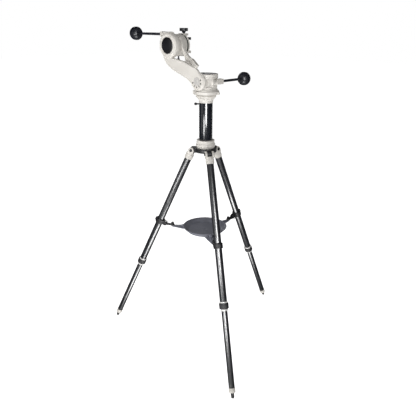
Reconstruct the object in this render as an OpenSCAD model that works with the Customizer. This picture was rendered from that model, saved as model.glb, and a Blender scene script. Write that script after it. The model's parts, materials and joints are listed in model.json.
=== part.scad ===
// Single-arm altazimuth telescope mount on an extension pillar and a three-leg tripod.
// Millimetres, +Z up. The origin is on the floor, on the azimuth axis.

/* [Tripod] */
// Distance from the azimuth axis to a leg pivot
pivot_r = 63.7; // [60:0.1:80]
// Angle between a leg and the vertical
splay = 24.1; // [18:0.1:28]
// Direction of leg a, seen from above
leg_turn = 206.7; // [0:0.1:360]
// Length of the upper tube below the leg pivot
upper_reach = 650; // [520:1:700]
// Visible length of the lower tube, collar included, down to the foot
lower_reach = 364; // [320:1:440]
// Length of the foot below the lower tube
foot_len = 47.6; // [40:0.1:60]
// Outer radius of the upper leg tube
upper_tube_r = 16; // [14:0.5:18]
// Outer radius of the lower leg tube
lower_tube_r = 13.25; // [11:0.25:13.5]
// Wall of both leg tubes
tube_wall = 1.6; // [1:0.1:2]
// Length of lower tube that stays inside the upper tube
tube_overlap = 80; // [50:5:120]
// Width of the spider lug between the fork ears
lug_w = 21; // [16:0.5:24]
// Thickness of one fork ear
ear_t = 8; // [6:0.5:10]

/* [Tray] */
// Radius of the accessory dish
dish_r = 105; // [85:1:115]
// Distance from the axis to the end of a tray arm
tray_arm_r = 172; // [160:1:176]
// Distance from the azimuth axis to a tray hinge pin
hinge_r = 200; // [195:1:205]
// Height of the tray hinge pins
hinge_z = 590; // [540:1:620]
// Thickness of the tray arms
tray_arm_t = 6; // [5:0.5:8]

/* [Pillar] */
// Outer radius of the extension pillar
pillar_r = 30; // [26:0.5:34]
// Wall of the extension pillar
pillar_wall = 3; // [2:0.5:4]
// Height of the pillar top above the spider
pillar_rise = 199; // [150:1:240]

/* [Azimuth head] */
// Outer radius of the azimuth housing
housing_r = 51; // [49:0.5:54]
// Height of the azimuth housing above its flange
housing_h = 71; // [68:1:76]
// Outer radius of the flange
flange_r = 57; // [55:0.5:62]
// Distance between a worm and its wheel's axis
worm_centre = 45; // [44:0.5:46]
// Radius of the worm over its threads
worm_r = 7.8; // [7:0.1:8.2]
// Number of teeth on each worm wheel
wheel_teeth = 60; // [48:4:72]
// Distance from the azimuth axis to the centre of its knob
azimuth_knob_y = 205; // [180:1:240]

/* [Arm and altitude head] */
// Height of the arm pivot above the flange's underside
arm_rise = 56; // [54:0.5:58]
// Sideways distance from the arm pivot to the altitude axis
arm_dx = 170; // [160:1:190]
// Height of the altitude axis above the arm pivot
arm_dz = 136.5; // [120:0.5:150]
// Radius of the altitude drum
drum_r = 46; // [45:0.5:47]
// Radius of the ring around the altitude cap
ring_r = 53; // [52:0.5:56]
// Distance from the altitude axis to the centre of its knob
altitude_knob_x = 222; // [200:1:250]
// Radius of the two slow-motion knobs
knob_r = 29.7; // [24:0.1:32]
// Radius of the two knob rods
rod_r = 5.5; // [5:0.1:6.5]

/* [Saddle] */
// Width of the dovetail slot at its mouth
dovetail_w = 44; // [40:0.5:46]
// Depth of the dovetail slot
dovetail_d = 15; // [12:0.5:18]
// Radius of the saddle disc
saddle_r = 47; // [45:0.5:50]

/* [Hidden] */
$fn = 64;
fit = 0.05;      // radial clearance of turning and fixed fits
gap = 0.3;       // clearance between pieces that move past each other
eps = 0.01;

// Tripod
leg_angles = [leg_turn, leg_turn - 120, leg_turn - 240];
leg_len = upper_reach + lower_reach + foot_len;
tip_r = 7;
flat_r = 3;                                        // radius of the worn flat under a foot tip
tip_drop = sqrt(tip_r * tip_r - flat_r * flat_r);
pivot_z = (leg_len - tip_r) * cos(splay) + tip_drop;
ear_r = 13;
lug_r = 11.5;
bolt_r = 4;
fork_len = 44;
fork_socket = 30;
fork_r = 19;
collar_len = 40;
collar_top = upper_reach - 7;
collar_grip_r = 20.75;
foot_top = upper_reach + lower_reach;
cap_len = 20;
cap_r = 14.5;

// Tray brackets: the hinge pin's place in a leg's own frame, x inwards and z down the leg
hinge_out = hinge_r - pivot_r;
hinge_down = pivot_z - hinge_z;
hinge_x = hinge_down * sin(splay) - hinge_out * cos(splay);
hinge_d = hinge_out * sin(splay) + hinge_down * cos(splay);
hinge_pin_r = 3;
barrel_r = 6;
tab_w = 18;
tab_t = 5;
band_r = 21;
band_len = 24;
bracket_ear_t = 4;
tray_screw_r = 2.5;
screw_inset = 8;                                   // from the end of a tray arm to its screw
tray_screw_x = hinge_r - tray_arm_r + screw_inset; // from the hinge pin to the screw
tray_arm_top = hinge_z - barrel_r;
dish_floor_t = 4;
dish_rise = 24;
dish_bottom = tray_arm_top - tray_arm_t;

// Hub and pillar
spider_r = 50;
spider_top = pivot_z + 15;
spider_bottom = pivot_z - 3;
collar_floor = 6;
hub_collar_h = 36;
hub_collar_r = 44;
pillar_bottom = spider_top + collar_floor;
pillar_top = spider_top + pillar_rise;
spigot_len = 33;
central_bolt_r = 5;
thumb_angle = 222;
thumb_z = pillar_top - 6.5;
thumb_r = 3;

// Azimuth head
flange_z = pillar_top + 36;
flange_h = 14;
housing_z = flange_z + flange_h;
housing_top = housing_z + housing_h;
arm_z = flange_z + arm_rise;
worm_z = arm_z - 3;
pad_angle = -26;
pad_w = 27;
body_r = housing_r - 3.5;
lip_h = 18;
skirt_h = 10;
bump_angle = -34;
spindle_r = 12;
bush_r = 16;
wheel_r = worm_centre - worm_r - gap;             // the teeth stop just short of the worm
pitch_r = wheel_r - 1.2;
tooth = PI * pitch_r / wheel_teeth;                // half of the circular pitch
wheel_root_r = pitch_r - 1.5;
cavity_r = worm_centre - 3.7;
wheel_t = 10;
journal_r = 4;
worm_bore_r = worm_r + 0.4;
worm_case_r = 11;
cap_side = 22;
cap_t = 8;
azimuth_cap_y = 42;                                // where the azimuth worm's end cap starts
altitude_cap_x = 42;                               // the same on the altitude worm, from its axis

// Arm; along the arm is its own x, and its own z points to the lower left
arm_len = sqrt(arm_dx * arm_dx + arm_dz * arm_dz);
arm_angle = atan2(arm_dz, arm_dx);
altitude_z = arm_z + arm_dz;
boss_face = -60;
boss_back = -47.5;
boss_gap = 0.6;                                    // between the arm's boss and the housing
boss_r = 33;
boss_flare_r = 41;
pivot_bolt_r = 6;
clear_r = sqrt(housing_r * housing_r + (housing_top - arm_z) * (housing_top - arm_z)) + 2;
front_y = -42;                                     // back of the arm's front tine
ring_face = -64;
ring_back = -36.5;
cap_seat = -60;
wheel_wall = -52;
cap_disc_r = 34;
drum_back = 15;
rear_y0 = -24;
rear_y1 = -8;
rib_lean = 27;                                     // how far the rib turns back from the boss to the rear tine
rib_s = 40;
rib_y = -50;
rib_t = 15;
index_r = 23;
index_first = 72;
cover_r = 17;
index_screw_r = 3;
friction_y0 = drum_back + gap;
saddle_y0 = 23;
saddle_y1 = 31;
altitude_worm_y = -45;

// Saddle
jaw_len = 76;
jaw_h = 11;
undercut = 4;                                      // how far a jaw leans over the slot
jaw_travel = 5;
clamp_y = saddle_y1 + dovetail_d / 2 + 1;
bridge_z = dovetail_w / 2 + jaw_h + jaw_travel + 1.5;
bridge_h = 9;
clamp_r = 4;
clamp_knob_r = 19;

// Frames
module at_leg(i) {
    rotate([0, 0, leg_angles[i]]) translate([pivot_r, 0, pivot_z]) rotate([0, 180 - splay, 0]) children();
}
module at_hinge(i) {
    rotate([0, 0, leg_angles[i]]) translate([hinge_r, 0, hinge_z]) children();
}
module along_y(y0) {
    translate([0, y0, 0]) rotate([-90, 0, 0]) children();
}
module along_x(x0) {
    translate([x0, 0, 0]) rotate([0, 90, 0]) children();
}
module on_arm() {
    translate([0, 0, arm_z]) rotate([0, 180 + arm_angle, 0]) children();
}
module arm_slab(y0, y1) {
    on_arm() translate([0, y1, 0]) rotate([90, 0, 0]) linear_extrude(height = y1 - y0) children();
}
module arm_rib() {
    on_arm() translate([rib_s, rib_y, 0]) rotate([0, 0, rib_lean]) translate([-rib_s, rib_t / 2, 0])
        rotate([90, 0, 0]) linear_extrude(height = rib_t) children();
}
module at_altitude() {
    translate([-arm_dx, 0, altitude_z]) children();
}
module tube(outer, inner, len) {
    difference() {
        cylinder(r = outer, h = len);
        translate([0, 0, -1]) cylinder(r = inner, h = len + 2);
    }
}

// Hub
module lug_outline() {
    circle(r = lug_r);
    translate([-5, 4]) circle(r = lug_r);
    translate([-22, -lug_r + 4]) square([18, 2 * lug_r]);
    translate([-24, -lug_r]) square([24, lug_r]);
}
module hub_spider() color([0.08, 0.08, 0.09]) difference() {
    union() {
        translate([0, 0, spider_bottom]) cylinder(r = spider_r, h = spider_top - spider_bottom);
        for (a = leg_angles) rotate([0, 0, a]) translate([pivot_r, lug_w / 2, pivot_z])
            rotate([90, 0, 0]) linear_extrude(height = lug_w) lug_outline();
    }
    translate([0, 0, spider_bottom - 1]) cylinder(r = central_bolt_r + fit, h = spider_top - spider_bottom + 2);
    for (a = leg_angles) rotate([0, 0, a]) translate([pivot_r, 0, pivot_z])
        along_y(-lug_w) cylinder(r = bolt_r + fit, h = 2 * lug_w);
}
module hub_collar() color([0.9, 0.88, 0.84]) translate([0, 0, spider_top]) difference() {
    rotate_extrude() union() {
        square([hub_collar_r - 4, hub_collar_h]);
        translate([hub_collar_r - 10, 13]) circle(r = 10);
        translate([0, 8]) square([hub_collar_r - 10, 20]);
        polygon([[0, 3], [hub_collar_r - 10, 3], [hub_collar_r, 13], [hub_collar_r - 4, 26], [0, 26]]);
    }
    translate([0, 0, collar_floor]) cylinder(r = pillar_r + fit, h = hub_collar_h);
    translate([0, 0, -1]) cylinder(r = central_bolt_r + fit, h = hub_collar_h);
}
module central_bolt() color([0.07, 0.07, 0.08]) {
    translate([0, 0, spider_bottom - 12]) cylinder(r = central_bolt_r, h = spider_top + collar_floor - spider_bottom + 12);
    translate([0, 0, spider_bottom - 6]) cylinder(r = 10, h = 6, $fn = 6);
    // Accessory hook: a stem, a half ring and a ball end
    translate([0, 0, spider_bottom - 14]) {
        cylinder(r = 2, h = 6);
        translate([0, 8, 0]) rotate([0, -90, 0]) rotate([0, 0, 90])
            rotate_extrude(angle = 180) translate([8, 0]) circle(r = 2, $fn = 24);
        translate([0, 16, 2]) sphere(r = 3, $fn = 24);
    }
}
module leg_pivot_bolts() color([0.07, 0.07, 0.08]) for (a = leg_angles) rotate([0, 0, a])
    translate([pivot_r, 0, pivot_z]) {
        reach = lug_w / 2 + 0.5 + ear_t;
        along_y(-reach - 2) cylinder(r = bolt_r, h = 2 * reach + 4);
        for (side = [-1, 1]) translate([0, side * (reach + gap + 1.5), 0])
            rotate([90, 0, 0]) cylinder(r = 6.5, h = 3, center = true);
    }
module pillar_tube() color([0.06, 0.07, 0.1]) difference() {
    translate([0, 0, pillar_bottom]) tube(pillar_r, pillar_r - pillar_wall, pillar_top - pillar_bottom);
    rotate([0, 0, thumb_angle]) translate([0, 0, thumb_z]) along_x(0) cylinder(r = thumb_r + fit, h = pillar_r + 5);
}
module pillar_thumb_screw() color([0.07, 0.07, 0.08]) rotate([0, 0, thumb_angle]) translate([0, 0, thumb_z]) {
    along_x(pillar_r - 12) cylinder(r = thumb_r, h = 26);
    along_x(pillar_r + 8) cylinder(r = 4.5, h = 3);
    translate([pillar_r + 15, 0, 0]) sphere(r = 6);
}

// Azimuth head
module azimuth_adapter() color([0.88, 0.86, 0.82]) difference() {
    translate([0, 0, pillar_top]) union() {
        translate([0, 0, -spigot_len]) cylinder(r = pillar_r - pillar_wall - fit, h = spigot_len);
        rotate_extrude() polygon([[0, 0], [pillar_r + 1, 0], [pillar_r + 1, 9], [pillar_r + 2.5, 12],
            [41, 23], [44, 25], [44, 30], [41, 33], [0, 33]]);
    }
    translate([0, 0, pillar_top - spigot_len - 1]) cylinder(r = spindle_r + fit, h = spigot_len + 50);
    rotate([0, 0, thumb_angle]) translate([0, 0, thumb_z])
        along_x(spindle_r) cylinder(r = thumb_r + fit, h = pillar_r);
    for (a = [0 : 30 : 330]) rotate([0, 0, a]) translate([pillar_r + 4, -3, pillar_top + 9.5]) cube([14, 6, 13]);
}
module azimuth_spindle() color([0.7, 0.7, 0.72]) {
    translate([0, 0, pillar_top - spigot_len]) cylinder(r = spindle_r, h = worm_z + wheel_t / 2 + 3 - pillar_top + spigot_len);
    translate([0, 0, pillar_top + 33]) cylinder(r = 20, h = flange_z - pillar_top - 33 - fit);
}
// A wheel whose straight teeth stand for the hobbed ones, with a tooth centred on +X
module worm_wheel() difference() {
    linear_extrude(height = wheel_t, center = true) polygon([
        for (k = [0 : wheel_teeth - 1], c = [[-0.34, wheel_root_r], [-0.18, wheel_r], [0.18, wheel_r], [0.34, wheel_root_r]])
            let (a = (k + c[0]) * 360 / wheel_teeth) [c[1] * cos(a), c[1] * sin(a)]]);
    cylinder(r = spindle_r + fit, h = wheel_t + 2, center = true);
}
// A worm along +Z: its rings stand for the thread and lie between the wheel's teeth
module worm(front, back) {
    translate([0, 0, -front]) cylinder(r = journal_r, h = front + back);
    translate([0, 0, -12]) cylinder(r = worm_r - 2.8, h = 24);
    for (k = [-2 : 1]) translate([0, 0, (k + 0.5) * 2 * tooth])
        rotate_extrude() polygon([[0, -0.6], [worm_r - 2.8, -0.6], [worm_r, -0.3], [worm_r, 0.3], [worm_r - 2.8, 0.6], [0, 0.6]]);
}
module azimuth_worm_wheel() color([0.75, 0.6, 0.3]) translate([0, 0, worm_z]) worm_wheel();
module azimuth_bush() color([0.72, 0.55, 0.3]) translate([0, 0, flange_z + fit])
    tube(bush_r, spindle_r + fit, worm_z - wheel_t / 2 - gap - flange_z - fit);
module azimuth_housing() color([0.91, 0.89, 0.85]) difference() {
    union() {
        translate([0, 0, flange_z]) cylinder(r = flange_r, h = flange_h);
        translate([0, 0, housing_z]) cylinder(r1 = flange_r - 3, r2 = body_r, h = skirt_h);
        translate([0, 0, housing_z]) cylinder(r = body_r, h = housing_h);
        translate([0, 0, housing_top - lip_h]) cylinder(r = housing_r, h = lip_h);
        for (a = [20, 140, 260]) rotate([0, 0, a]) translate([flange_r - 2, -8, flange_z]) cube([6, 16, flange_h - 4]);
        translate([worm_centre, 0, worm_z]) along_y(-18) cylinder(r = worm_case_r, h = azimuth_cap_y + 18);
        translate([worm_centre - 8, 10, worm_z - worm_case_r]) cube([8 + worm_case_r, 32, 2 * worm_case_r]);
        rotate([0, 0, pad_angle]) translate([body_r - 9, -pad_w / 2, housing_top - 48]) cube([12.5, pad_w, 29]);
        rotate([0, 0, bump_angle]) translate([body_r - 6, -8, housing_top - 58]) {
            cube([11, 16, 6]);
            for (y = [0, 16]) translate([0, y, 3]) along_x(0) cylinder(r = 3, h = 11, $fn = 24);
        }
    }
    translate([0, 0, housing_top - 11]) tube(housing_r + 10, housing_r - 1.2, 1.6);
    translate([0, 0, arm_z]) along_y(-flange_r - 5) cylinder(r = boss_flare_r + 2 * boss_gap, h = flange_r + 5 + boss_back);
    translate([0, 0, flange_z - 1]) cylinder(r = bush_r + fit, h = housing_h);
    translate([0, 0, worm_z - wheel_t / 2 - 2]) cylinder(r = cavity_r, h = housing_h);
    translate([0, 0, arm_z]) along_y(boss_back - 1) cylinder(r = pivot_bolt_r + fit, h = 20);
    translate([worm_centre, 0, worm_z]) {
        along_y(-14) cylinder(r = journal_r + fit, h = azimuth_cap_y);
        along_y(-13 + gap) cylinder(r = worm_bore_r, h = azimuth_cap_y + 20);
    }
}
module azimuth_top_cap() color([0.75, 0.75, 0.76]) translate([0, 0, housing_top - 18]) difference() {
    cylinder(r = cavity_r - fit, h = 18);
    translate([0, 0, 4]) cylinder(r = 36, h = 20);
}
module worm_cap() difference() {
    translate([-cap_side / 2, -cap_side / 2, 0]) cube([cap_side, cap_side, cap_t]);
    translate([0, 0, -1]) cylinder(r = journal_r + fit, h = cap_t + 2);
    for (x = [-1, 1], y = [-1, 1]) translate([x * 7.5, y * 7.5, 2]) cylinder(r = 1.6, h = cap_t, $fn = 24);
}
module azimuth_worm() color([0.6, 0.6, 0.62]) translate([worm_centre, 0, worm_z])
    along_y(0) worm(13.8, azimuth_cap_y + cap_t + 18);
module azimuth_worm_cap() color([0.9, 0.88, 0.84]) translate([worm_centre, azimuth_cap_y, worm_z]) along_y(0) worm_cap();
module drive_rod(len) difference() {
    cylinder(r = rod_r, h = len);
    translate([0, 0, -1]) cylinder(r = journal_r + fit, h = 17 + 1);
}
// A round grip with a flat at each end and shallow finger grooves, on the end of its rod
module drive_knob() difference() {
    intersection() {
        sphere(r = knob_r);
        cylinder(r = knob_r - 0.5, h = 1.62 * knob_r, center = true);
    }
    for (a = [0 : 45 : 315]) rotate([0, 0, a]) translate([knob_r + 5.5, 0, 0]) cylinder(r = 8, h = 2 * knob_r, center = true);
    translate([0, 0, -knob_r - 1]) cylinder(r = rod_r + fit, h = knob_r);
}
module azimuth_rod() color([0.06, 0.06, 0.07]) translate([worm_centre, 0, worm_z])
    along_y(azimuth_cap_y + cap_t + 1) drive_rod(azimuth_knob_y - azimuth_cap_y - cap_t - 3);
module azimuth_knob() color([0.05, 0.05, 0.06]) translate([worm_centre, azimuth_knob_y, worm_z]) along_y(0) drive_knob();

// Arm
function lower_edge(s) = 29 + 18 * (1 - cos(180 * min(1, max(0, (s - 20) / 150))));
module front_tine_outline() {
    blend = 57;
    polygon(concat(
        [for (s = [0 : 10 : 170]) [s, lower_edge(s)]],
        [for (a = [90 : -10 : 20]) [arm_len - 40 + blend * cos(a), 8 + blend * sin(a)]],
        [[arm_len, 30], [180, 32], [147, 12], [118, -4], [103, -12], [60, -27], [30, -38], [0, -boss_r]]));
}
module web_outline() {
    polygon(concat([for (s = [50 : 10 : 120]) [s, lower_edge(s) - 3]],
        [[128, 26], [118, 4], [112, -14], [96, -12], [60, 0]]));
}
module rear_tine_outline() {
    polygon([[100, 26], [118, 7], [150, -9], [172, -19], [186, -30], [200, -42], [215, -48],
        [208, -50], [185, -38], [165, -27], [135, -21], [106, -22], [98, 20]]);
}
module rib_outline() {
    polygon([[37, -50], [58, -45], [85, -37], [112, -29], [124, -14], [116, 4], [70, -2], [37, -12]]);
}
module arm() color([0.92, 0.9, 0.86]) difference() {
    union() {
        translate([0, 0, arm_z]) along_y(boss_face) cylinder(r1 = boss_r, r2 = boss_flare_r, h = boss_back - boss_gap - boss_face);
        arm_slab(boss_face, front_y) front_tine_outline();
        arm_slab(front_y - 6, rear_y1) web_outline();
        arm_slab(rear_y0, rear_y1) rear_tine_outline();
        arm_rib() rib_outline();
        at_altitude() {
            along_y(ring_face) rotate_extrude() polygon([[0, 0], [ring_r - 7, 0], [ring_r - 2, 4], [ring_r, 11],
                [ring_r, ring_back - ring_face], [0, ring_back - ring_face]]);
            translate([0, altitude_worm_y, worm_centre]) along_x(-altitude_cap_x)
                cylinder(r = worm_case_r, h = altitude_cap_x + 18);
        }
    }
    translate([0, 0, arm_z]) {
        along_y(boss_back - boss_gap) cylinder(r = clear_r, h = 100);
        along_y(boss_face - 1) cylinder(r = pivot_bolt_r + fit, h = 30);
        along_y(boss_face - 1) cylinder(r = cover_r + fit, h = 4);
        index_holes() along_y(boss_face - 1) cylinder(r = index_screw_r + fit, h = 9, $fn = 24);
    }
    at_altitude() {
        along_y(ring_face - 1) cylinder(r = cap_disc_r + fit, h = cap_seat - ring_face + 1);
        along_y(wheel_wall) cylinder(r = cavity_r, h = ring_back - wheel_wall + 1);
        along_y(ring_back) cylinder(r = drum_r + fit, h = 60);
        translate([0, altitude_worm_y, worm_centre]) {
            along_x(-14) cylinder(r = journal_r + fit, h = 28);
            along_x(-80) cylinder(r = worm_bore_r, h = 80 + 13 - gap);
        }
    }
}
module index_holes() {
    for (k = [0 : 5]) rotate([0, index_first + 36 * k, 0]) translate([0, 0, index_r]) children();
}
module arm_pivot_bolt() color([0.72, 0.71, 0.69]) translate([0, 0, arm_z]) {
    along_y(boss_face + 1) cylinder(r = pivot_bolt_r, h = -boss_face - 1 - 41.8);
    along_y(boss_face) cylinder(r = cover_r, h = 3 - gap);
}
module arm_index_screws() color([0.1, 0.1, 0.1]) translate([0, 0, arm_z])
    index_holes() along_y(boss_face + 0.5) cylinder(r = index_screw_r, h = 7.5, $fn = 24);

// Altitude head
module altitude_housing() color([0.9, 0.88, 0.84]) at_altitude() difference() {
    along_y(ring_back) cylinder(r = drum_r, h = drum_back - ring_back);
    along_y(ring_back - 1) cylinder(r = spindle_r + fit, h = 80);
    translate([10, -5, -drum_r - 5]) cylinder(r = 3 + fit, h = 20);
}
module altitude_cap() color([0.03, 0.03, 0.03]) at_altitude() along_y(ring_face - 1) union() {
    cylinder(r1 = cap_disc_r - 2, r2 = cap_disc_r, h = 2);
    translate([0, 0, 2]) cylinder(r = cap_disc_r, h = cap_seat - ring_face - 1);
}
module altitude_spindle() color([0.7, 0.7, 0.72]) at_altitude()
    along_y(wheel_wall + gap) cylinder(r = spindle_r, h = saddle_y1 - wheel_wall - gap);
module altitude_worm_wheel() color([0.75, 0.6, 0.3]) at_altitude() translate([0, altitude_worm_y, 0])
    rotate([90, 0, 0]) rotate([0, 0, 90]) worm_wheel();
module altitude_worm() color([0.6, 0.6, 0.62]) at_altitude() translate([0, altitude_worm_y, worm_centre])
    rotate([0, -90, 0]) worm(13.8, altitude_cap_x + cap_t + 18);
module altitude_worm_cap() color([0.9, 0.88, 0.84]) at_altitude() translate([-altitude_cap_x, altitude_worm_y, worm_centre])
    rotate([0, -90, 0]) worm_cap();
module altitude_rod() color([0.06, 0.06, 0.07]) at_altitude() translate([-altitude_cap_x - cap_t - 1, altitude_worm_y, worm_centre])
    rotate([0, -90, 0]) drive_rod(altitude_knob_x - altitude_cap_x - cap_t - 3);
module altitude_knob() color([0.05, 0.05, 0.06]) at_altitude() translate([-altitude_knob_x, altitude_worm_y, worm_centre])
    rotate([0, -90, 0]) drive_knob();
module altitude_clutch_lever() color([0.07, 0.07, 0.08]) at_altitude() translate([10, -5, -drum_r]) {
    translate([0, 0, -8]) cylinder(r = 3, h = 18);
    translate([0, 0, -11]) cylinder(r = 4.5, h = 5);
    translate([-7, -2, -25]) cube([14, 4, 14]);
}
module friction_ring() color([0.1, 0.1, 0.1]) at_altitude() along_y(friction_y0) tube(drum_r - 0.5, spindle_r + fit, saddle_y0 - friction_y0);

// Saddle: the slot runs along X and opens towards +Y
module jaw_outline() polygon([[0, dovetail_w / 2 + undercut], [0, dovetail_w / 2 + jaw_h],
    [dovetail_d, dovetail_w / 2 + jaw_h], [dovetail_d, dovetail_w / 2]]);
module jaw_bar() translate([-jaw_len / 2, saddle_y1, 0]) rotate([90, 0, 90]) linear_extrude(height = jaw_len) jaw_outline();
module saddle_plate() color([0.88, 0.86, 0.82]) at_altitude() difference() {
    union() {
        along_y(saddle_y0) cylinder(r = saddle_r, h = saddle_y1 - saddle_y0);
        mirror([0, 0, 1]) jaw_bar();
        translate([-20, saddle_y0, bridge_z]) cube([40, dovetail_d + saddle_y1 - saddle_y0 + 2, bridge_h]);
        translate([-20, saddle_y0, 20]) cube([40, saddle_y1 - saddle_y0, bridge_z - 15]);
    }
    along_y(saddle_y0 - 1) cylinder(r = spindle_r + fit, h = 30);
    translate([0, clamp_y, bridge_z - 1]) cylinder(r = clamp_r + fit, h = 20);
}
module saddle_jaw() color([0.2, 0.2, 0.21]) at_altitude() translate([0, gap, 0]) jaw_bar();
module saddle_clamp_screw() color([0.07, 0.07, 0.08]) at_altitude() translate([0, clamp_y, 0]) {
    translate([0, 0, dovetail_w / 2 + jaw_h + gap]) cylinder(r = clamp_r, h = 26);
    translate([0, 0, bridge_z + bridge_h + 1]) cylinder(r1 = 6, r2 = 10, h = 8);
    translate([0, 0, bridge_z + bridge_h + 9]) difference() {
        cylinder(r = clamp_knob_r, h = 13);
        for (a = [0 : 45 : 315]) rotate([0, 0, a]) translate([clamp_knob_r + 3, 0, -1]) cylinder(r = 5, h = 15);
    }
}

// Legs
module fork(i) color([0.9, 0.88, 0.84]) at_leg(i) difference() {
    inner = lug_w / 2 + 0.5;
    union() {
        for (side = [0, 1]) mirror([0, side, 0]) translate([0, inner, 0]) {
            rotate([-90, 0, 0]) cylinder(r = ear_r, h = ear_t);
            translate([-ear_r, 0, 0]) cube([2 * ear_r, ear_t, 18]);
        }
        translate([0, 0, lug_r + 1]) cylinder(r1 = fork_r - 3, r2 = fork_r, h = 12);
        translate([0, 0, lug_r + 13]) cylinder(r = fork_r, h = fork_len - lug_r - 13);
    }
    along_y(-40) cylinder(r = bolt_r + fit, h = 80);
    translate([0, 0, fork_socket]) cylinder(r = upper_tube_r + fit, h = fork_len);
}
module upper_tube(i) color([0.08, 0.09, 0.11]) at_leg(i) translate([0, 0, fork_socket])
    tube(upper_tube_r, upper_tube_r - tube_wall, upper_reach - fork_socket);
module tray_bracket(i) color([0.07, 0.07, 0.08]) at_leg(i) difference() {
    union() {
        translate([0, 0, hinge_d - band_len / 2]) cylinder(r = band_r, h = band_len);
        for (side = [-1, 1]) translate([0, side * (tab_w / 2 + gap + bracket_ear_t / 2), 0]) {
            translate([0, -bracket_ear_t / 2, hinge_d - 9]) cube([hinge_x, bracket_ear_t, 18]);
            translate([hinge_x, 0, hinge_d]) rotate([90, 0, 0]) cylinder(r = 9, h = bracket_ear_t, center = true);
        }
        translate([hinge_x, 0, hinge_d]) rotate([90, 0, 0]) cylinder(r = hinge_pin_r, h = tab_w + 2, center = true);
        translate([-band_r - 5, -5, hinge_d - 8]) cube([10, 10, 16]);
    }
    translate([0, 0, hinge_d - band_len]) cylinder(r = upper_tube_r + fit, h = 2 * band_len);
    translate([hinge_x, 0, hinge_d]) rotate([90, 0, 0]) tube(barrel_r + 1.5, hinge_pin_r, tab_w + 2 * gap - eps);
}
module lock_collar(i) color([0.1, 0.1, 0.11]) at_leg(i) translate([0, 0, collar_top]) difference() {
    union() {
        cylinder(r = 17.5, h = 6);
        translate([0, 0, 6]) cylinder(r = collar_grip_r, h = collar_len - 13);
        translate([0, 0, collar_len - 7]) cylinder(r = lower_tube_r + 2.25, h = 7);
    }
    translate([0, 0, -1]) cylinder(r = lower_tube_r + fit, h = collar_len + 2);
    translate([0, 0, -1]) cylinder(r = upper_tube_r + fit, h = upper_reach - collar_top + 1 + gap);
}
module lower_tube(i) color([0.08, 0.09, 0.11]) at_leg(i) translate([0, 0, upper_reach - tube_overlap])
    tube(lower_tube_r, lower_tube_r - tube_wall, foot_top - upper_reach + tube_overlap);
module foot_cap(i) color([0.9, 0.88, 0.84]) at_leg(i) {
    translate([0, 0, foot_top]) cylinder(r = cap_r, h = cap_len);
    translate([0, 0, foot_top - 25]) cylinder(r = lower_tube_r - tube_wall - fit, h = 25);
}
module foot_tip(i) color([0.05, 0.05, 0.05]) intersection() {
    at_leg(i) {
        translate([0, 0, foot_top + cap_len]) cylinder(r1 = 8.5, r2 = tip_r, h = foot_len - cap_len - tip_r);
        translate([0, 0, leg_len - tip_r]) sphere(r = tip_r);
    }
    rotate([0, 0, leg_angles[i]]) translate([pivot_r, -50, 0]) cube([leg_len, 100, 100]);
}

// Tray
module tray_tab(i) color([0.07, 0.07, 0.08]) at_hinge(i) difference() {
    union() {
        rotate([90, 0, 0]) cylinder(r = barrel_r, h = tab_w, center = true);
        translate([-tray_screw_x, -tab_w / 2, -barrel_r]) cube([tray_screw_x, tab_w, tab_t]);
        translate([-tray_screw_x, 0, -barrel_r]) cylinder(r = tab_w / 2, h = tab_t + 1);
    }
    rotate([90, 0, 0]) cylinder(r = hinge_pin_r + fit, h = tab_w + 2, center = true);
    translate([-tray_screw_x, 0, -barrel_r - 1]) cylinder(r = tray_screw_r + fit, h = 20);
}
module tray_screw(i) color([0.07, 0.07, 0.08]) at_hinge(i) translate([-tray_screw_x, 0, -barrel_r]) {
    translate([0, 0, 1 - tray_arm_t]) cylinder(r = tray_screw_r, h = 20);
    translate([0, 0, tab_t + 1 + gap]) cylinder(r = 7, h = 9);
}
module tray() color([0.3, 0.31, 0.34]) difference() {
    union() {
        translate([0, 0, dish_bottom]) rotate_extrude() polygon([[0, 0], [dish_r - 22, 0], [dish_r, dish_rise - 2],
            [dish_r, dish_rise], [dish_r - 4, dish_rise], [dish_r - 24, dish_floor_t], [9, dish_floor_t], [6, 2], [0, 2]]);
        for (a = leg_angles) rotate([0, 0, a]) translate([0, 0, dish_bottom]) {
            linear_extrude(height = tray_arm_t) {
                polygon([[dish_r - 24, -24], [dish_r + 8, -20], [tray_arm_r - 11, -11], [tray_arm_r - 11, 11],
                    [dish_r + 8, 20], [dish_r - 24, 24]]);
                translate([tray_arm_r - 11, 0]) circle(r = 11);
            }
            translate([0, 6, 0]) rotate([90, 0, 0]) linear_extrude(height = 12)
                polygon([[dish_r - 10, 0], [dish_r - 4, dish_rise - 2], [dish_r + 12, 14], [tray_arm_r - 24, tray_arm_t], [tray_arm_r - 24, 0]]);
        }
    }
    for (i = [0 : 2]) rotate([0, 0, leg_angles[i]]) translate([tray_arm_r - screw_inset, 0, dish_bottom - 1])
        cylinder(r = i == 2 ? tray_screw_r + fit : 6.5, h = tray_arm_t + 2);
}

hub_spider();
hub_collar();
central_bolt();
leg_pivot_bolts();
pillar_tube();
pillar_thumb_screw();
azimuth_adapter();
azimuth_spindle();
azimuth_worm_wheel();
azimuth_bush();
azimuth_housing();
azimuth_top_cap();
azimuth_worm();
azimuth_worm_cap();
azimuth_rod();
azimuth_knob();
arm();
arm_pivot_bolt();
arm_index_screws();
altitude_housing();
altitude_cap();
altitude_spindle();
altitude_worm_wheel();
altitude_worm();
altitude_worm_cap();
altitude_rod();
altitude_knob();
altitude_clutch_lever();
friction_ring();
saddle_plate();
saddle_jaw();
saddle_clamp_screw();
tray();
for (i = [0 : 2]) {
    leg = ["a", "b", "c"][i];
    fork(i);
    upper_tube(i);
    tray_bracket(i);
    lock_collar(i);
    lower_tube(i);
    foot_cap(i);
    foot_tip(i);
    tray_tab(i);
    tray_screw(i);
}
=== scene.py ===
import json
import math
import bmesh
import bpy
from mathutils import Matrix, Vector


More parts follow.
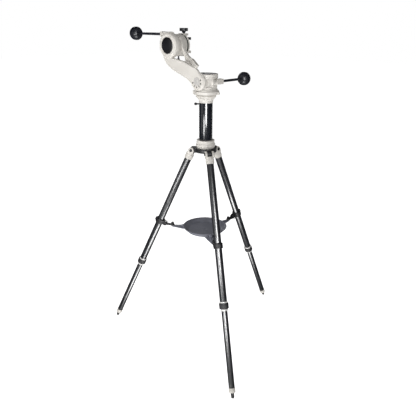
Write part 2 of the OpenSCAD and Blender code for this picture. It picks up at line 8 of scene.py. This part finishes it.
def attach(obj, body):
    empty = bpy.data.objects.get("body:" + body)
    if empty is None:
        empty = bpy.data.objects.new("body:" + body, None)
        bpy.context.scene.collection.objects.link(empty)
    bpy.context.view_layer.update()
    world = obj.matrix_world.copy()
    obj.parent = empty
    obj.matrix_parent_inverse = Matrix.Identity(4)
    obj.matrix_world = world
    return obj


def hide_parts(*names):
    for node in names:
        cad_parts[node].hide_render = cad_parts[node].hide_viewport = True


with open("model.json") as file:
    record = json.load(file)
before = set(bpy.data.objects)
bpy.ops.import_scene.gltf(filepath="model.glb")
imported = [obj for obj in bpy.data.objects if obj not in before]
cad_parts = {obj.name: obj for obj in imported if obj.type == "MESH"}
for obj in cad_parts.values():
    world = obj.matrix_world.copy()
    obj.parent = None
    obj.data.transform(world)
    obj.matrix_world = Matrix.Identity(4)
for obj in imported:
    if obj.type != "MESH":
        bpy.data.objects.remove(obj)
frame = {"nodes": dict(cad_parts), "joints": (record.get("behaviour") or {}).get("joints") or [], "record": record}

scene = bpy.context.scene
nodes, record = frame["nodes"], frame["record"]
joints = {joint["name"]: joint for joint in frame["joints"]}
bodyOf = {node: body for body, group in record["behaviour"]["bodies"].items() for node in group}
slotOf = {part["node"]: part["material_slot"] for part in record["subparts"]}
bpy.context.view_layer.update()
mm = 0.001
legNames = ("a", "b", "c")
print("frame loaded:", len(nodes), "nodes")


# camera, lights and floor
cameraSet = {
    "place": Vector((1.3536, -1.5034, 1.4923)),
    "heading": 131.61,       # degrees from +X, seen from above
    "pitch": 21.6,
    "roll": 0.61,
    "lens": 39.86,
}
studio = {
    "floor": 40.0,           # width of the floor
    "floorColour": (0.90, 0.90, 0.90),
    "floorShade": 0.985,     # how dark the paper's darker tint is beside the other
    "floorRough": 0.9,
    "floorGlow": 1.05,
    "skyColour": (1.0, 1.0, 1.0),
    # name: azimuth and distance of the middle, its height, width, length, lean, power, on what it falls
    "lamps": {
        "keyPanel": (-77, 1.9, 0.95, 0.7, 3.4, 38, 26, "shade"),
        "frontFill": (-25, 3.0, 1.9, 2.4, 2.0, 30, 9, "shade"),
        "backFill": (160, 3.0, 1.8, 2.4, 2.0, 30, 12, "shade"),
        "topSoft": (132, 0.5, 3.6, 2.6, 2.6, 85, 16, "shade"),
        "pillarStreak": (-77, 2.5, 0.55, 0.75, 0.95, 0, 24, "gloss"),
        "legStreak": (-43, 2.5, 1.5, 0.7, 1.7, 0, 75, "gloss"),
        "lowStreak": (-50, 1.2, -1.3, 1.6, 0.8, -45, 45, "gloss"),
        "leftPanel": (-118, 2.6, 1.2, 1.2, 2.2, 10, 4, "both"),
        "backPanel": (95, 2.8, 1.3, 0.7, 2.6, 15, 10, "both"),
        "backStreak": (150, 2.6, 1.4, 0.5, 2.4, 10, 14, "gloss"),
    },
}


def makeCamera():
    heading, pitch = math.radians(cameraSet["heading"]), math.radians(cameraSet["pitch"])
    level = math.cos(pitch)
    ahead = Vector((math.cos(heading) * level, math.sin(heading) * level, -math.sin(pitch)))
    right = ahead.cross(Vector((0, 0, 1))).normalized()
    up = right.cross(ahead)
    roll = math.radians(cameraSet["roll"])
    right, up = right * math.cos(roll) + up * math.sin(roll), up * math.cos(roll) - right * math.sin(roll)
    data = bpy.data.cameras.new("studioCamera")
    data.lens, data.sensor_width, data.clip_start = cameraSet["lens"], 36, 0.05
    camera = bpy.data.objects.new("studioCamera", data)
    turn = Matrix((right, up, -ahead)).transposed().to_4x4()
    camera.matrix_world = Matrix.Translation(cameraSet["place"]) @ turn
    scene.collection.objects.link(camera)
    scene.camera = camera


def makeLamp(name, azimuth, away, height, width, length, lean, power, falls):
    data = bpy.data.lights.new(name, "AREA")
    data.shape, data.size, data.size_y = "RECTANGLE", width, length
    data.energy = power
    lamp = bpy.data.objects.new(name, data)
    turn = math.radians(azimuth)
    lamp.location = (away * math.cos(turn), away * math.sin(turn), height)
    lamp.rotation_euler = (math.radians(90 - lean), 0, turn + math.pi / 2)
    lamp.visible_camera = False
    lamp.visible_glossy, lamp.visible_diffuse = falls != "shade", falls != "gloss"
    scene.collection.objects.link(lamp)


def makeStudio():
    for name, values in studio["lamps"].items():
        makeLamp(name, *values)
    world = bpy.data.worlds.new("studioSky")
    world.use_nodes = True
    sky = world.node_tree.nodes["Background"]
    sky.inputs["Color"].default_value = (*studio["skyColour"], 1)
    sky.inputs["Strength"].default_value = 1.0
    world.cycles_visibility.diffuse = world.cycles_visibility.glossy = False
    scene.world = world
    scene.view_settings.view_transform = "Standard"
    half = studio["floor"] / 2
    mesh = bpy.data.meshes.new("studioFloor")
    corners = [(-half, -half, 0), (half, -half, 0), (half, half, 0), (-half, half, 0)]
    mesh.from_pydata(corners, [], [(0, 1, 2, 3)])
    floor = bpy.data.objects.new("studioFloor", mesh)
    scene.collection.objects.link(floor)
    floor.visible_glossy = floor.visible_shadow = False
    paint = Finish("floorPaper")
    shade = paint.noise(3, 4)
    plain = studio["floorColour"]
    paint.set("Base Color", paint.mix(shade, plain, tuple(c * studio["floorShade"] for c in plain)))
    paint.set("Roughness", studio["floorRough"])
    paint.set("Emission Color", (1, 1, 1))
    paint.set("Emission Strength", studio["floorGlow"])
    mesh.materials.append(paint.material)


# shader maths: sums of sockets are written as Python sums
class Wire:
    def __init__(self, finish, socket):
        self.finish, self.socket = finish, socket

    def maths(self, operation, other):
        return self.finish.node("ShaderNodeMath", {"operation": operation}, {0: self, 1: other})

    def __add__(self, other):
        return self.maths("ADD", other)

    def __mul__(self, other):
        return self.maths("MULTIPLY", other)

    __radd__, __rmul__ = __add__, __mul__


class Finish:
    def __init__(self, name):
        self.material = bpy.data.materials.new(name)
        self.material.use_nodes = True
        self.tree = self.material.node_tree
        self.shader = self.tree.nodes["Principled BSDF"]

    def node(self, kind, settings=None, values=None, output=0):
        made = self.tree.nodes.new(kind)
        for key, value in (settings or {}).items():
            setattr(made, key, value)
        for key, value in (values or {}).items():
            self.feed(made.inputs[key], value)
        return Wire(self, made.outputs[output])

    def feed(self, socket, value):
        if isinstance(value, Wire):
            self.tree.links.new(value.socket, socket)
        elif socket.type == "RGBA":
            socket.default_value = (*value[:3], 1)
        else:
            socket.default_value = value

    def set(self, socket, value):
        self.feed(self.shader.inputs[socket], value)

    def noise(self, scale, detail):
        where = self.node("ShaderNodeTexCoord", output=3)
        return self.node("ShaderNodeTexNoise", None, {"Vector": where, "Scale": scale, "Detail": detail})

    def step(self, value, low, high):
        return self.node("ShaderNodeMapRange", {"clamp": True}, {0: value, 1: low, 2: high})

    def mix(self, share, first, second):
        return self.node("ShaderNodeMix", {"data_type": "RGBA"}, {0: share, 6: first, 7: second}, 2)

    def bump(self, height, strength, distance):
        values = {"Height": height, "Strength": strength, "Distance": distance}
        return self.node("ShaderNodeBump", None, values)


# finishes: two tints that vary over the surface, the cloud's scale, a roughness band,
# a grain (scale, strength, distance in metres) and a few fixed shader values
finishSet = {
    "casting": {"tints": ((0.60, 0.575, 0.535), (0.66, 0.634, 0.592)), "cloud": 14, "rough": (0.34, 0.48),
                "grain": (1100, 0.35, 0.0004), "fixed": {"Specular IOR Level": 0.25, "Coat Weight": 0.05}},
    "pillar_gloss": {"tints": ((0.008, 0.009, 0.012), (0.013, 0.015, 0.020)), "cloud": 9, "rough": (0.2, 0.3),
                     "grain": (500, 0.03, 0.0001),
                     "fixed": {"Specular IOR Level": 0.3, "Coat Weight": 1.0, "Coat Roughness": 0.16,
                               "Coat IOR": 1.8}},
    "leg_tube": {"tints": ((0.010, 0.011, 0.014), (0.019, 0.021, 0.026)), "cloud": 20, "rough": (0.3, 0.42),
                 "grain": (700, 0.05, 0.0001),
                 "fixed": {"Coat Weight": 1.0, "Coat Roughness": 0.3, "Coat IOR": 2.0}},
    "black_casting": {"tints": ((0.012, 0.012, 0.014), (0.022, 0.022, 0.025)), "cloud": 30,
                      "rough": (0.38, 0.52), "grain": (800, 0.15, 0.0003), "fixed": {}},
    "grip": {"tints": ((0.010, 0.010, 0.012), (0.02, 0.02, 0.023)), "cloud": 60, "rough": (0.45, 0.6),
             "grain": (1200, 0.2, 0.0003), "fixed": {}},
    "knob": {"tints": ((0.008, 0.009, 0.013), (0.018, 0.019, 0.026)), "cloud": 45, "rough": (0.32, 0.46),
             "grain": (1100, 0.12, 0.0002), "fixed": {"Coat Weight": 0.1}},
    "tray_plastic": {"tints": ((0.150, 0.155, 0.188), (0.178, 0.184, 0.222)), "cloud": 25,
                     "rough": (0.48, 0.62), "grain": (1500, 0.25, 0.0003), "fixed": {}},
    "fastener": {"tints": ((0.012, 0.012, 0.013), (0.022, 0.022, 0.024)), "cloud": 90, "rough": (0.3, 0.45),
                 "grain": (1500, 0.1, 0.0001), "fixed": {"Metallic": 0.4}},
    "steel": {"tints": ((0.5, 0.5, 0.52), (0.62, 0.62, 0.64)), "cloud": 60, "rough": (0.25, 0.4),
              "grain": (900, 0.1, 0.0001), "fixed": {"Metallic": 1.0}},
    "bronze": {"tints": ((0.55, 0.38, 0.16), (0.66, 0.47, 0.22)), "cloud": 60, "rough": (0.3, 0.45),
               "grain": (900, 0.1, 0.0001), "fixed": {"Metallic": 1.0}},
    "boss_cover": {"tints": ((0.36, 0.35, 0.34), (0.62, 0.60, 0.57)), "cloud": 420, "rough": (0.4, 0.55),
                   "grain": (1300, 0.3, 0.0004), "fixed": {}},
    "grey_insert": {"tints": ((0.30, 0.30, 0.31), (0.38, 0.38, 0.39)), "cloud": 30, "rough": (0.4, 0.55),
                    "grain": (1300, 0.2, 0.0003), "fixed": {}},
    "black_cap": {"tints": ((0.006, 0.006, 0.007), (0.012, 0.012, 0.014)), "cloud": 20, "rough": (0.25, 0.38),
                  "grain": (1500, 0.06, 0.0001), "fixed": {"Coat Weight": 0.3}},
    "friction": {"tints": ((0.012, 0.022, 0.016), (0.022, 0.036, 0.027)), "cloud": 80, "rough": (0.6, 0.75),
                 "grain": (1500, 0.2, 0.0002), "fixed": {}},
    "rubber_foot": {"tints": ((0.014, 0.014, 0.014), (0.026, 0.026, 0.026)), "cloud": 90, "rough": (0.6, 0.8),
                    "grain": (1400, 0.3, 0.0004), "fixed": {}},
    "ringWhite": {"tints": ((0.72, 0.71, 0.69), (0.82, 0.81, 0.79)), "cloud": 50, "rough": (0.28, 0.4),
                   "grain": (1100, 0.08, 0.0001), "fixed": {"Coat Weight": 0.2}},
}
finishes = {}


def makeFinish(name):
    look = finishSet[name]
    paint = Finish(name)
    cloud = paint.noise(look["cloud"], 4)
    paint.set("Base Color", paint.mix(paint.step(cloud, 0.35, 0.65), look["tints"][0], look["tints"][1]))
    low, high = look["rough"]
    paint.set("Roughness", paint.noise(look["cloud"] * 5, 3) * (high - low) + low)
    scale, strength, distance = look["grain"]
    paint.set("Normal", paint.bump(paint.noise(scale, 2), strength, distance))
    for socket, value in look["fixed"].items():
        paint.set(socket, value)
    return paint.material


def finish(name):
    if name not in finishes:
        finishes[name] = makeFinish(name)
    return finishes[name]


# mesh tools
def wear(piece, name):
    piece.data.materials.clear()
    piece.data.materials.append(finish(name))


def keep(piece, body, look, replaced):
    wear(piece, look)
    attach(piece, body)
    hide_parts(*replaced)
    return piece


def fromBmesh(name, shape):
    mesh = bpy.data.meshes.new(name)
    bmesh.ops.recalc_face_normals(shape, faces=shape.faces)
    shape.to_mesh(mesh)
    shape.free()
    piece = bpy.data.objects.new(name, mesh)
    scene.collection.objects.link(piece)
    return piece


def smoothShade(piece, angle):
    for face in piece.data.polygons:
        face.use_smooth = True
    piece.data.set_sharp_from_angle(angle=math.radians(angle))


def settle(piece):
    graph = bpy.context.evaluated_depsgraph_get()
    mesh = bpy.data.meshes.new_from_object(piece.evaluated_get(graph))
    piece.modifiers.clear()
    piece.data = mesh
    return piece


def copyNode(node, name):
    mesh = nodes[node].data.copy()
    piece = bpy.data.objects.new(name, mesh)
    scene.collection.objects.link(piece)
    return piece


# turned shapes
def lathe(name, profile, place, steps=96, swell=None):
    shape = bmesh.new()
    rings = []
    for radius, height in profile:
        ring = []
        for k in range(steps):
            turn = 2 * math.pi * k / steps
            r = radius * (swell(turn, radius, height) if swell else 1)
            point = Vector((r * math.cos(turn), r * math.sin(turn), height)) * mm
            ring.append(shape.verts.new(place @ point))
        rings.append(ring)
    for first, second in zip(rings, rings[1:] + [rings[0]]):
        for k in range(steps):
            shape.faces.new((first[k], first[k - 1], second[k - 1], second[k]))
    piece = fromBmesh(name, shape)
    smoothShade(piece, 38)
    return piece


# A casting: the CAD solid with its edges melted, as a sand or die casting has them
def recast(node, voxel, passes, slim=0.0):
    piece = copyNode(node, node + "_casting")
    melt = piece.modifiers.new("melt", "REMESH")
    melt.mode, melt.voxel_size = "VOXEL", voxel * mm
    soften = piece.modifiers.new("soften", "SMOOTH")
    soften.factor, soften.iterations = 0.5, passes
    if slim:
        thin = piece.modifiers.new("thin", "DISPLACE")
        thin.mid_level, thin.strength = 0.0, -slim * mm
    settle(piece)
    for face in piece.data.polygons:
        face.use_smooth = True
    return keep(piece, bodyOf[node], slotOf[node], [node])


# A machined or moulded piece: the CAD solid with a fine bevel on every edge
bevelSet = {
    "width": 0.5,
    "segments": 2,
    "weld": 0.01,            # vertices nearer than this are one
    "flat": 0.5,             # degrees under which two faces are one plane
    "edge": 32,              # degrees over which an edge is bevelled
    "crease": 34,            # degrees over which shading breaks
}


def bevelled(node):
    piece = copyNode(node, node + "_part")
    shape = bmesh.new()
    shape.from_mesh(piece.data)
    bmesh.ops.remove_doubles(shape, verts=shape.verts, dist=bevelSet["weld"] * mm)
    flat = math.radians(bevelSet["flat"])
    bmesh.ops.dissolve_limit(shape, angle_limit=flat, verts=shape.verts, edges=shape.edges)
    shape.to_mesh(piece.data)
    shape.free()
    edge = piece.modifiers.new("edge", "BEVEL")
    edge.width, edge.segments, edge.limit_method = bevelSet["width"] * mm, bevelSet["segments"], "ANGLE"
    edge.angle_limit = math.radians(bevelSet["edge"])
    edge.use_clamp_overlap = True
    settle(piece)
    smoothShade(piece, bevelSet["crease"])
    return keep(piece, bodyOf[node], slotOf[node], [node])


# Lock collar: a pale ring, a ribbed grip and a second pale ring; lengths in mm down the leg
collarSet = {
    "above": 20,             # from the joint's place up to the collar's top
    "length": 40,
    "bore": 13.35,           # around the lower tube
    "tube": 16.1,            # around the upper tube
    "seat": 16.4,            # depth of the upper tube's seat
    "round": 0.6,            # eased edges of the rings
    "topRing": (17.9, 6.2),
    "grip": (20.9, 26.6),
    "ribs": 28,
    "ribDepth": 0.035,
    "lowRing": (16.2, 7.0),
}


def legFrame(leg, low):
    # the leg's own frame, from its two joints: +Z runs down the leg
    joint = joints["leg_" + leg + "_extend"]
    down = Vector(joint["axis"]).normalized()
    start = Vector(joints["collar_" + leg + "_turn"]["pos_m"])
    side = down.cross(Vector((0, 0, 1))).normalized()
    turn = Matrix((side, down.cross(side), down)).transposed().to_4x4()
    return Matrix.Translation(start + down * low * mm) @ turn


def makeCollar(leg):
    look, body, node = collarSet, "collar_" + leg, "lock_collar_" + leg
    place, length, soft = legFrame(leg, -look["above"]), look["length"], look["round"]
    topR, topH = look["topRing"]
    gripR, gripH = look["grip"]
    lowR, lowH = look["lowRing"]
    bore, tube, seat = look["bore"], look["tube"], look["seat"]
    top = [(tube, soft), (tube + 0.3, 0), (topR - soft, 0), (topR, soft),
           (topR, topH - 0.2), (tube, topH - 0.2)]
    keep(lathe("collarTopRing_" + leg, top, place), body, "ringWhite", [node])
    grip = [(tube, topH), (gripR - 1.6, topH), (gripR, topH + 1.8), (gripR, topH + gripH - 2.6),
            (gripR - 3.4, topH + gripH), (bore, topH + gripH), (bore, seat), (tube, seat)]

    def ribs(turn, r, h):
        inside = r < gripR - 2 or h < topH + 1
        return 1 if inside else 1 - look["ribDepth"] * (0.5 + 0.5 * math.cos(look["ribs"] * turn)) ** 2

    keep(lathe("collarGrip_" + leg, grip, place, 168, ribs), body, "grip", [node])
    low = [(bore, length - lowH), (lowR, length - lowH), (lowR, length - 0.8),
           (lowR - 0.8, length), (bore, length)]
    keep(lathe("collarLowRing_" + leg, low, place), body, "ringWhite", [node])


makeCamera()
makeStudio()

# node: voxel in mm, smoothing passes and, where it clears a neighbour, how much the skin draws in
castings = {
    "arm": (1.5, 5, 0.25),
    "azimuth_housing": (1.1, 3, 0.1),
    "hub_spider": (1.6, 5),
    "saddle_plate": (1.2, 3),
    "azimuth_adapter": (1.1, 2),
    "hub_collar": (1.3, 3),
    "tray": (1.7, 24),
}
legCastings = {"fork": (1.2, 4), "tray_bracket": (1.2, 3)}
for node, values in castings.items():
    recast(node, *values)
for leg in legNames:
    for base, values in legCastings.items():
        recast(base + "_" + leg, *values)
for leg in legNames:
    makeCollar(leg)
for node in nodes:
    base = node[:-2] if node[-2:] in ("_a", "_b", "_c") else node
    if base not in castings and base not in legCastings and base != "lock_collar":
        bevelled(node)
print("pieces made")
